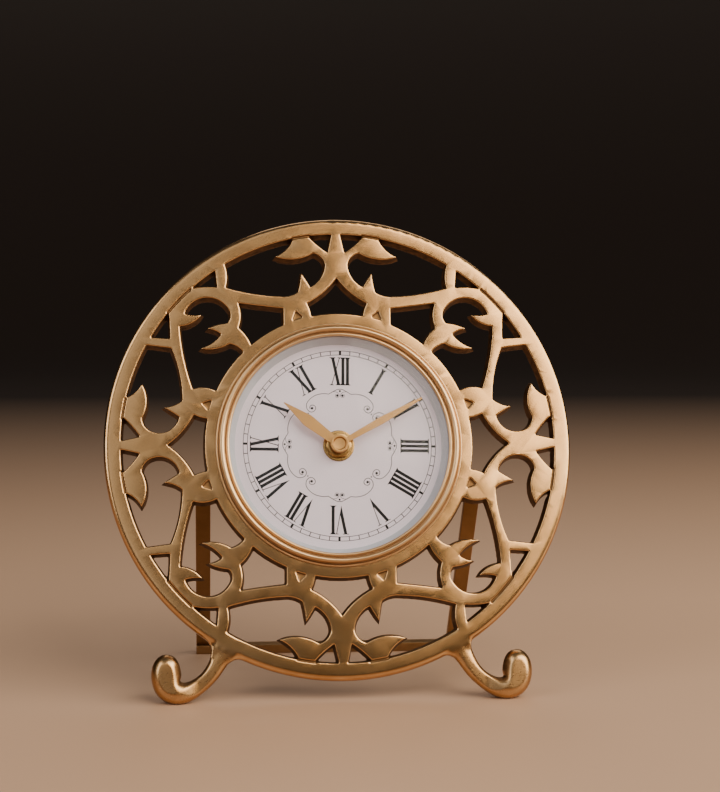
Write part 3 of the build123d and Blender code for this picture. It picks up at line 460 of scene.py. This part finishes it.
FINISHES = {
    "cast_brass": brass_casting("cast_brass_finish"),
    "strut_brass": metal(
        "strut_brass_finish", light=(0.34, 0.19, 0.08), dark=(0.25, 0.135, 0.052),
        rough=(0.36, 0.52), grain=700, strength=0.25),
    "pin_steel": metal(
        "pin_steel_finish", light=(0.6, 0.58, 0.55), dark=(0.48, 0.46, 0.44),
        rough=(0.25, 0.4), grain=900, strength=0.1),
    "bezel_brass": turned_metal(
        "bezel_brass_finish", light=(0.66, 0.43, 0.225), dark=(0.59, 0.375, 0.185),
        rough=(0.29, 0.35), lines=2500, grooves=BEZEL_SHADE_GROOVES),
    "clear_glass": clear_glass("clear_glass_finish"),
    "spacer_grey": plain(
        "spacer_grey_finish", light=(0.54, 0.535, 0.595), dark=(0.5, 0.495, 0.55),
        rough=(0.45, 0.6), waves=150),
    "dial_white": plain(
        "dial_white_finish", light=(0.85, 0.722, 0.84), dark=(0.825, 0.698, 0.815),
        rough=(0.5, 0.62), waves=220),
    "can_steel": metal(
        "can_steel_finish", light=(0.55, 0.42, 0.25), dark=(0.46, 0.34, 0.19),
        rough=(0.3, 0.45), grain=700, strength=0.15),
    "black_rubber": plain(
        "black_rubber_finish", light=(0.03, 0.03, 0.03), dark=(0.018, 0.018, 0.018),
        rough=(0.7, 0.9), waves=500, strength=0.3),
    "fitting_brass": turned_metal(
        "fitting_brass_finish", light=(0.56, 0.32, 0.115), dark=(0.45, 0.245, 0.08),
        rough=(0.22, 0.34), lines=2200, strength=0.2),
    "hand_gold": metal(
        "hand_gold_finish", light=(0.56, 0.295, 0.112), dark=(0.5, 0.255, 0.092),
        rough=(0.34, 0.46), grain=1600, strength=0.08),
    "wheel_plastic": plain(
        "wheel_plastic_finish", light=(0.75, 0.73, 0.68), dark=(0.68, 0.66, 0.6),
        rough=(0.4, 0.5), waves=300),
    "black_plastic": plain(
        "black_plastic_finish", light=(0.028, 0.028, 0.03), dark=(0.018, 0.018, 0.02),
        rough=(0.42, 0.6), waves=700, strength=0.35),
    "coil_copper": metal(
        "coil_copper_finish", light=(0.6, 0.24, 0.1), dark=(0.45, 0.16, 0.06),
        rough=(0.3, 0.45), grain=2400, strength=0.4),
    "board_green": plain(
        "board_green_finish", light=(0.03, 0.16, 0.06), dark=(0.02, 0.11, 0.04),
        rough=(0.35, 0.5), waves=300),
    "crystal_steel": metal(
        "crystal_steel_finish", light=(0.7, 0.69, 0.67), dark=(0.58, 0.57, 0.55),
        rough=(0.2, 0.32), grain=900, strength=0.1),
    "cell_jacket": plain(
        "cell_jacket_finish", light=(0.42, 0.43, 0.45), dark=(0.36, 0.37, 0.39),
        rough=(0.3, 0.42), waves=400),
}
INK = plain(
    "dial_ink_finish", light=(0.022, 0.019, 0.02), dark=(0.013, 0.012, 0.013),
    rough=(0.45, 0.6), waves=600, values=INK_SHEEN)
FINE_INK = plain(
    "dial_fine_ink_finish", light=(0.03, 0.027, 0.028), dark=(0.018, 0.016, 0.017),
    rough=(0.45, 0.6), waves=600, values=INK_SHEEN)


# Pieces and meshes

def dress(piece, finish):
    """A piece in one finish."""
    piece.data.materials.clear()
    piece.data.materials.append(finish)


def new_piece(name, mesh, finish, body, stands_for=()):
    """A piece of the visual model, in the row frame, that rides on a CAD body."""
    piece = bpy.data.objects.new(name, mesh)
    bpy.context.scene.collection.objects.link(piece)
    dress(piece, finish)
    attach(piece, body)
    if stands_for:
        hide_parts(*stands_for)


def settled(mesh, modifiers, group=None):
    """The mesh after some modifiers, each a type with its settings; group weighs vertices by number."""
    holder = bpy.data.objects.new("holder", mesh)
    bpy.context.scene.collection.objects.link(holder)
    if group:
        weights = holder.vertex_groups.new(name="group")
        for number, weight in group.items():
            weights.add([number], weight, "REPLACE")
    for kind, settings in modifiers:
        step = holder.modifiers.new(kind.lower(), kind)
        for key, value in settings.items():
            setattr(step, key, value)
    shape = holder.evaluated_get(bpy.context.evaluated_depsgraph_get())
    result = bpy.data.meshes.new_from_object(shape)
    bpy.data.objects.remove(holder)
    return result


def cad_work(names):
    """The meshes of some CAD nodes in one, with faces that share their points."""
    work = bmesh.new()
    for name in names:
        work.from_mesh(NODES[name].data)
    bmesh.ops.remove_doubles(work, verts=work.verts, dist=SAME_POINT)
    return work


def as_mesh(work, name):
    """The work closed, as a mesh of that name."""
    mesh = bpy.data.meshes.new(name)
    work.to_mesh(mesh)
    work.free()
    return mesh


def band(work, low, high):
    """The faces between two closed rows of as many points."""
    following = [*range(1, len(low)), 0]
    return [work.faces.new((low[i], low[k], high[k], high[i])) for i, k in enumerate(following)]


def steps_round(count):
    """The angles of so many even steps round a circle."""
    return [2 * math.pi * k / count for k in range(count)]


def rounded(start, corner, end, steps):
    """Points on the curve from start to end that bends towards a corner."""
    shares = [k / steps for k in range(steps + 1)]
    return [start * (1 - t) ** 2 + corner * (2 * t * (1 - t)) + end * t ** 2 for t in shares]


def ease(value, low, high):
    """A share that grows softly from 0 at low to 1 at high."""
    share = min(max((value - low) / (high - low), 0), 1)
    return share * share * (3 - 2 * share)


# The casting and its feet

def draft(work):
    """The openwork's walls spread towards the back, as they left the sand."""
    low, high = DRAFT_RADII
    moves = {}
    for vertex in work.verts:
        if vertex.co.z > CAST_BACK + BACK_REACH or not low < math.hypot(vertex.co.x, vertex.co.y) < high:
            continue
        walls = {tuple(round(n, 2) for n in face.normal.xy)
                 for face in vertex.link_faces if abs(face.normal.z) < WALL_LEAN_LIMIT}
        if walls:
            way = sum((Vector(wall).normalized() for wall in walls), Vector((0, 0))) / len(walls)
            moves[vertex] = way.normalized() * DRAFT / max(way.length, CORNER_LEAST_SHARE)
    for vertex, move in moves.items():
        vertex.co.xy += move


def block(work, front):
    """A closed block from the points of its front straight back into the ring."""
    high = [work.verts.new(point) for point in front]
    low = [work.verts.new((x, y, BLOCK_BACK)) for x, y, _ in front]
    faces = [work.faces.new(low), work.faces.new(high), *band(work, low, high)]
    bmesh.ops.recalc_face_normals(work, faces=faces)
    bmesh.ops.triangulate(work, faces=faces)


def root_fillets(work):
    """Metal in the corners where the feet leave the ring, more of it on the viewer's left."""
    for side, sizes in ROOT_FILLETS.items():
        for (place, stem, turn), size in zip(ROOT_EDGES, sizes):
            corner = Vector(place)
            angle = math.atan2(corner.y, corner.x) + turn * size / RING_RADIUS
            inside = corner.normalized() * (RING_RADIUS - size / 2)
            on_ring = Vector((math.cos(angle), math.sin(angle))) * (RING_RADIUS - FILLET_SUNK)
            on_stem = corner + Vector(stem) * size
            in_stem = on_stem + Vector((stem[1], -stem[0])) * turn * FILLET_HOLD
            outline = [inside, *rounded(on_ring, corner, on_stem, FILLET_STEPS), in_stem]
            block(work, [(p.x * side, p.y, FILLET_FRONT) for p in outline])


def root_bridges(work):
    """Metal that carries the ring's face out over the root of each foot."""
    corners = [Vector(place) for place, _, _ in ROOT_EDGES]
    stems = [Vector(stem) for _, stem, _ in ROOT_EDGES]
    inner = [corner.normalized() * (RING_RADIUS - BRIDGE_HOLD) for corner in corners]
    for side, length in BRIDGE_LENGTHS.items():
        ends = [corner + stem * length for corner, stem in zip(corners, stems)]
        middle = (ends[0] + ends[1]) / 2
        ends = [end.lerp(middle, BRIDGE_TAPER_SHARE) for end in ends]
        front = [(inner[0], BRIDGE_FRONT), (corners[0], BRIDGE_FRONT), (ends[0], BRIDGE_END),
                 (ends[1], BRIDGE_END), (corners[1], BRIDGE_FRONT), (inner[1], BRIDGE_FRONT)]
        block(work, [(p.x * side, p.y, w) for p, w in front])


def poured():
    """The casting and its feet in one mesh, in plate coordinates."""
    work = cad_work(CAST_NODES)
    work.transform(PLATE.inverted())
    work.normal_update()
    draft(work)
    root_fillets(work)
    root_bridges(work)
    return as_mesh(work, "poured")


def flatten_feet(mesh):
    """The feet's fronts taken down flat, level with the ring at the root and proud of it at the curl."""
    for vertex in mesh.vertices:
        place = vertex.co
        if math.hypot(place.x, place.y) > RIM_OUTSIDE:
            limit = STEM_FLAT + (CURL_FLAT - STEM_FLAT) * ease(abs(place.x), *FLAT_REACH)
            place.z = min(place.z, limit)


def root_weights(mesh):
    """How much each vertex is smoothed: most at the feet's roots, less along the rim."""
    weights = {}
    for vertex in mesh.vertices:
        place = Vector((abs(vertex.co.x), vertex.co.y, vertex.co.z))
        at_root = 1 - ease((place - Vector(ROOT_MIDDLE)).length, *ROOT_REACH)
        weight = max(at_root, RIM_WEIGHT * ease(place.xy.length, *RIM_SMOOTH))
        if weight:
            weights[vertex.index] = weight
    return weights


def skin_and_shade_share(place, normal):
    """How much raw skin is left, its dark tone partly painted shade: on the openwork's walls, in its dents and
    inside the feet's curls.
    """
    radius = math.hypot(place.x, place.y)
    if radius > RIM_OUTSIDE:
        across, up = FOOT_CURL
        inward = Vector((math.copysign(across, place.x) - place.x, up - place.y, 0)).normalized()
        curl = CURL_SKIN * ease(inward.dot(normal), *CURL_INWARD) * (1 - ease(normal.z, *CURL_FRONT))
        return max(FOOT_SKIN, curl)
    away = ease(-normal.z, *BACK_LEAN)
    # The walls' share also carries painted shade
    walls = (1 - ease(normal.z, *FRONT_LEAN)) * (1 - BACK_POLISH * away)
    dents = DENT_SKIN * ease(-place.z, *DENT_DEPTH)
    rim = ease(radius, RIM_INSIDE - RIM_BLEND, RIM_INSIDE) * (1 - away)
    return max(walls, dents) * (1 - rim)


def polish_and_highlight_share(normal):
    """How much lighter the rounded edges of the front are: partly polish from the wheel, partly a painted
    highlight.
    """
    return ease(normal.z, *WEAR_AND_HIGHLIGHT_BEGIN) * (1 - ease(normal.z, *WEAR_AND_HIGHLIGHT_END))


def keep_values(mesh, name, values):
    """A value for each vertex, which the finish reads by its name."""
    mesh.attributes.new(name, "FLOAT", "POINT").data.foreach_set("value", values)


def cast_piece():
    """The casting and its feet, remeshed in one, smoothed at the roots and softened all over."""
    mesh = settled(poured(), [("REMESH", {"mode": "VOXEL", "voxel_size": VOXEL})])
    flatten_feet(mesh)
    mesh = settled(mesh, [
        ("SMOOTH", {"factor": SMOOTH_FACTOR, "iterations": ROOT_TIMES, "vertex_group": "group"}),
        ("SMOOTH", {"factor": SMOOTH_FACTOR, "iterations": SOFTEN_TIMES}),
        ("DECIMATE", {"ratio": KEEP_SHARE}),
    ], root_weights(mesh))
    keep_values(mesh, "casting_skin_and_shade", [skin_and_shade_share(vertex.co, vertex.normal) for vertex in mesh.vertices])
    keep_values(mesh, "edge_wear_and_highlight", [polish_and_highlight_share(vertex.normal) for vertex in mesh.vertices])
    mesh.shade_smooth()
    mesh.transform(PLATE)
    new_piece("scroll_casting", mesh, FINISHES["cast_brass"], "frame", CAST_NODES)


# Pieces with broken edges, and turned pieces

def finished(node, work, modifiers=()):
    """The piece that stands for a CAD node, with level faces that shade level."""
    mesh = as_mesh(work, node + "_work")
    mesh.shade_smooth()
    mesh = settled(mesh, [*modifiers, ("WEIGHTED_NORMAL", {})])
    new_piece(node + "_finished", mesh, FINISHES[SLOTS[node]], BODIES[node], (node,))


def broken_edges(node, width):
    """A copy of a CAD node with its sharp edges rounded by width mm, which stands for it."""
    work = cad_work([node])
    level = math.radians(LEVEL_ANGLE)
    bmesh.ops.dissolve_limit(work, angle_limit=level, verts=work.verts, edges=work.edges)
    finished(node, work, [
        ("BEVEL", {"width": width * MM, "segments": BEVEL_STEPS, "limit_method": "ANGLE",
                   "angle_limit": math.radians(BEVEL_ANGLE)}),
        ("WELD", {"merge_threshold": WELD_REACH}),
        ("TRIANGULATE", {}),
    ])


def seam_profile(node):
    """The (radius, height) outline of a round CAD node along its seam; an open one is closed on the axis."""
    work = cad_work([node])
    work.transform(PLATE.inverted())
    seam = {vertex for vertex in work.verts if abs(vertex.co.y) < SAME_POINT and vertex.co.x > SAME_POINT}
    links = {}
    for vertex in seam:
        others = [edge.other_vert(vertex) for edge in vertex.link_edges]
        links[vertex] = [other for other in others if other in seam]
    first = min(seam, key=lambda vertex: (len(links[vertex]), vertex.co.z, vertex.co.x))
    walk = [first]
    while True:
        following = [vertex for vertex in links[walk[-1]] if vertex not in walk]
        if not following:
            break
        walk.append(following[0])
    line = [(vertex.co.x, vertex.co.z) for vertex in walk]
    if len(links[first]) == 1:
        axis = [vertex.co.z for vertex in work.verts if vertex.co.xy.length < SAME_POINT]
        levels = (line[0][1], line[-1][1])
        ends = [min(axis, key=lambda z: abs(z - level), default=level) for level in levels]
        line = [(0, ends[0]), *line, (0, ends[1])]
    work.free()
    return line


def eased(line, width):
    """A closed outline with its corners rounded by width mm."""
    result = []
    for i, point in enumerate(line):
        here = Vector(point)
        before = Vector(line[i - 1]) - here
        after = Vector(line[(i + 1) % len(line)]) - here
        if point[0] == 0 or math.degrees(before.angle(after)) > CORNER_ANGLE:
            result.append(point)
            continue
        start = here + before.normalized() * min(width * MM, before.length / CORNER_ROOM)
        end = here + after.normalized() * min(width * MM, after.length / CORNER_ROOM)
        result += [tuple(place) for place in rounded(start, here, end, CORNER_STEPS)]
    return result


def lathe(node, width):
    """A round CAD node turned anew from its own outline, in many more steps."""
    work = bmesh.new()
    rings = []
    for radius, height in eased(seam_profile(node), width):
        angles = steps_round(TURNED_SIDES if radius else 1)
        places = [Vector((radius * math.cos(a), radius * math.sin(a), height)) for a in angles]
        rings.append([work.verts.new(PLATE @ place) for place in places])
    for ring, following in zip(rings, [*rings[1:], rings[0]]):
        for k in range(TURNED_SIDES):
            m = (k + 1) % TURNED_SIDES
            corners = [ring[k % len(ring)], ring[m % len(ring)],
                       following[m % len(following)], following[k % len(following)]]
            face = list(dict.fromkeys(corners))
            if len(face) > 2:
                work.faces.new(face)
    bmesh.ops.recalc_face_normals(work, faces=work.faces)
    finished(node, work)


# The dial's print

def turned(points, degrees):
    """Points turned anticlockwise about the dial's middle."""
    angle = math.radians(degrees)
    cos, sin = math.cos(angle), math.sin(angle)
    return [(x * cos - y * sin, x * sin + y * cos) for x, y in points]


class Print:
    """Ink laid on the dial card, as closed slabs a few hundredths of a millimetre high."""

    def __init__(self):
        self.mesh = bmesh.new()

    def point(self, x, y, w):
        """A new point of the mesh at a place of the drawing."""
        (x, y), = turned([(x, y)], PRINT_TURN)
        place = Vector((x + PRINT_AT[0], y + PRINT_AT[1], w)) * MM
        return self.mesh.verts.new(PLATE @ place)

    def slab(self, outline):
        """A convex outline of (x, y) points, filled."""
        low = [self.point(x, y, INK_LOW) for x, y in outline]
        high = [self.point(x, y, INK_HIGH) for x, y in outline]
        self.mesh.faces.new(high)
        self.mesh.faces.new(low[::-1])
        band(self.mesh, low, high)

    def strip(self, points, width, closed=False):
        """A line of that width along points."""
        last = len(points) - 1
        rings = []
        for i, (x, y) in enumerate(points):
            before = points[i - 1] if i or closed else points[i]
            after = points[(i + 1) % len(points)] if i < last or closed else points[i]
            along = Vector((after[0] - before[0], after[1] - before[1])).normalized() * width / 2
            left, right = (x - along.y, y + along.x), (x + along.y, y - along.x)
            rings.append([self.point(*left, INK_LOW), self.point(*left, INK_HIGH),
                          self.point(*right, INK_HIGH), self.point(*right, INK_LOW)])
        for i in range(len(rings) if closed else last):
            band(self.mesh, rings[i], rings[(i + 1) % len(rings)])
        if not closed:
            self.mesh.faces.new(rings[0][::-1])
            self.mesh.faces.new(rings[-1])

    def dot(self, place, turn, across):
        """A round dot of that diameter, at a place turned about the dial's middle."""
        (x, y), = turned([place], turn)
        angles = steps_round(DOT_SIDES)
        self.slab([(x + across / 2 * math.cos(a), y + across / 2 * math.sin(a)) for a in angles])

    def piece(self, name, finish):
        """The piece of all that was laid."""
        bmesh.ops.recalc_face_normals(self.mesh, faces=self.mesh.faces)
        new_piece(name, as_mesh(self.mesh, name), finish, "frame")


def curve(points):
    """A smooth line through the points."""
    ends = [points[0], *points, points[-1]]
    line = []
    for a, b, c, d in zip(ends, ends[1:], ends[2:], ends[3:]):
        for k in range(SPLINE_STEPS):
            t = k / SPLINE_STEPS
            line.append(tuple(
                0.5 * (2 * b[n] + (c[n] - a[n]) * t + (2 * a[n] - 5 * b[n] + 4 * c[n] - d[n]) * t * t
                       + (3 * b[n] - a[n] - 3 * c[n] + d[n]) * t ** 3) for n in (0, 1)))
    return [*line, points[-1]]


def stroke(low_x, high_x, width, height):
    """A numeral's stroke, cut level at both ends, with its serifs and their brackets."""
    half = width / 2
    slope = (high_x - low_x) / height
    reach = half + SERIF_REACH
    flare = half + BRACKET * (STEM_FLARE_SHARE if width > HAIRLINE else HAIR_FLARE_SHARE)
    parts = [[(low_x - half, 0), (low_x + half, 0), (high_x + half, height), (high_x - half, height)]]
    for x, y, way in ((low_x, 0, 1), (high_x, height, -1)):
        inner = y + way * SERIF_DEEP
        root = y + way * (SERIF_DEEP + BRACKET)
        moved = slope * (root - y)
        serif = [(x - reach, y), (x + reach, y), (x + reach, inner), (x - reach, inner)]
        bracket = [(x - flare, inner), (x + flare, inner), (x + moved + half, root), (x + moved - half, root)]
        parts += [serif[::way], bracket[::way]]
    return parts


def letter(kind, height):
    """The outlines of one letter about its middle, and how far it reaches to each side."""
    if kind == "I":
        return stroke(0, 0, STEM, height), STEM / 2, STEM / 2
    if kind == "X":
        thick = stroke(X_STEM, -X_STEM, STEM, height)
        thin = stroke(-X_HAIR, X_HAIR, HAIRLINE, height)
        return thick + thin, X_STEM + STEM / 2, X_HAIR + HAIRLINE / 2
    outer = V_HALF + STEM / 2
    hair = V_HALF + HAIRLINE / 2
    meet = STEM / (hair + outer)
    thick = [(-outer, height), (0, 0), (hair * meet, meet * height), (STEM - outer, height)]
    thin = [(0, 0), (hair, height), (hair - HAIRLINE, height), (-HAIRLINE / 2, HAIRLINE)]
    serifs = []
    for x, half in ((-V_HALF, STEM / 2), (V_HALF, HAIRLINE / 2)):
        reach = half + SERIF_REACH
        level = height - SERIF_DEEP
        serifs.append([(x - reach, level), (x + reach, level), (x + reach, height), (x - reach, height)])
    return [thick, thin, *serifs], outer, hair


def numerals(ink):
    """The twelve Roman numerals, each with its foot to the dial's middle."""
    height = NUMERAL_HIGH - NUMERAL_LOW
    for hour, word in enumerate(NUMERALS):
        letters = [letter(kind, height) for kind in word]
        width = sum(left + right for _, left, right in letters) + LETTER_GAP * (len(word) - 1)
        x = -width / 2
        for outlines, left, right in letters:
            for outline in outlines:
                moved = [(px + x + left, py + NUMERAL_LOW) for px, py in outline]
                ink.slab(turned(moved, HOUR_TURN * hour))
            x += left + right + LETTER_GAP


def minute_track(ink, fine):
    """Two fine circles, with a tick for each minute and a block for every fifth."""
    for radius in TRACK_RADII:
        circle = [(radius * math.cos(a), radius * math.sin(a)) for a in steps_round(TRACK_SIDES)]
        fine.strip(circle, TRACK_LINE, closed=True)
    for minute in range(60):
        width = TICK_WIDTH if minute % BLOCK_EVERY else BLOCK_WIDTH
        ink.strip(turned([(0, radius) for radius in TRACK_RADII], MINUTE_TURN * minute), width)


def cartouche(ink, fine):
    """The scrolls about the dial's middle: one eighth, mirrored and turned."""
    for turn in range(0, 360, 90):
        for side in (1, -1):
            for line, width in ((ARCH, SCROLL_LINE), (LOBE, SCROLL_LINE), (CURL, CURL_LINE)):
                fine.strip(turned([(x * side, y) for x, y in curve(line)], turn), width)
            for (x, y), across in PAIRED_DOTS:
                ink.dot((x * side, y), turn, across)
        for place, across in SINGLE_DOTS:
            ink.dot(place, turn, across)


def dial_print():
    """Numerals, ticks and dots in dark ink, circles and scrolls in a finer one."""
    ink, fine = Print(), Print()
    numerals(ink)
    minute_track(ink, fine)
    cartouche(ink, fine)
    ink.piece("dial_numerals", INK)
    fine.piece("dial_scrolls", FINE_INK)


# Floor, light and camera

def studio():
    """A pale floor that sweeps up to a wall all round."""
    profile = [(FLOOR_MIDDLE, 0), (FLOOR_RADIUS, 0)]
    for k in range(1, SWEEP_STEPS + 1):
        a = math.radians(90 * k / SWEEP_STEPS)
        profile.append((FLOOR_RADIUS + SWEEP_RADIUS * math.sin(a), SWEEP_RADIUS - SWEEP_RADIUS * math.cos(a)))
    profile.append((FLOOR_RADIUS + SWEEP_RADIUS, WALL_TOP))
    work = bmesh.new()
    angles = steps_round(STUDIO_SIDES)
    rings = [[work.verts.new((r * math.cos(a), r * math.sin(a), z)) for a in angles] for r, z in profile]
    for ring, following in zip(rings, rings[1:]):
        band(work, ring, following)
    work.faces.new(rings[0][::-1])
    mesh = as_mesh(work, "floor")
    mesh.shade_smooth()
    floor = bpy.data.objects.new("floor", mesh)
    bpy.context.scene.collection.objects.link(floor)
    dress(floor, floor_with_painted_shade("floor_painted_shade_finish"))


def lamp(name, azimuth, elevation, distance, size, watts, colour, roll=0):
    """A soft square lamp that looks at the dial, azimuth counted from the front to the viewer's right."""
    a, e = math.radians(azimuth), math.radians(elevation)
    way = Vector((math.sin(a) * math.cos(e), -math.cos(a) * math.cos(e), math.sin(e)))
    aim = way.to_track_quat("Z", "Y").to_matrix()
    data = bpy.data.lights.new(name, "AREA")
    data.shape = "RECTANGLE"
    data.size, data.size_y = size
    data.energy = watts
    data.color = colour
    made = bpy.data.objects.new(name, data)
    made.location = PLATE.translation + way * distance
    made.rotation_euler = (aim @ Matrix.Rotation(math.radians(roll), 3, "Z")).to_euler()
    made.visible_camera = False
    bpy.context.scene.collection.objects.link(made)


def surroundings(colour, strength):
    """A dim even light from all round."""
    world = bpy.data.worlds.new("world")
    bpy.context.scene.world = world
    world.use_nodes = True
    inputs = world.node_tree.nodes["Background"].inputs
    inputs["Color"].default_value = (*colour, 1)
    inputs["Strength"].default_value = strength


def camera():
    """The camera at the photograph's place."""
    rx, ry, rz = (Matrix.Rotation(math.radians(a), 4, axis) for a, axis in zip(CAMERA_TURNS, "XYZ"))
    view = Matrix.Translation(Vector(CAMERA_SHIFT) * MM) @ rz @ ry @ rx
    data = bpy.data.cameras.new("camera")
    data.sensor_width = SENSOR
    data.lens = FOCAL_PX / IMAGE_LONG_PX * SENSOR
    data.clip_start = NEAR_CLIP
    made = bpy.data.objects.new("camera", data)
    made.matrix_world = PLATE @ view.inverted()
    bpy.context.scene.collection.objects.link(made)
    bpy.context.scene.camera = made


# The whole scene

for cad_node, cad_slot in SLOTS.items():
    dress(NODES[cad_node], FINISHES[cad_slot])
cast_piece()
for edge_node, edge_width in EDGES.items():
    broken_edges(edge_node, edge_width)
for round_node, corner_width in TURNED.items():
    lathe(round_node, corner_width)
dial_print()
studio()
lamp("key", azimuth=55, elevation=34.5, distance=1.6, size=(2.27, 1.3), watts=60,
     colour=(1, 0.9, 0.76), roll=-24)
lamp("front", azimuth=-15, elevation=34, distance=1.5, size=(0.5, 1.2), watts=2, colour=(0.93, 1, 1.12))
lamp("fill", azimuth=-60, elevation=30, distance=1.5, size=(0.9, 1.2), watts=10, colour=(1, 0.95, 0.9))
lamp("back", azimuth=165, elevation=50, distance=1.5, size=(1.2, 0.8), watts=5, colour=(1, 0.94, 0.88))
camera()
surroundings(colour=(0.5, 0.45, 0.42), strength=0.1)

bpy.context.view_layer.update()
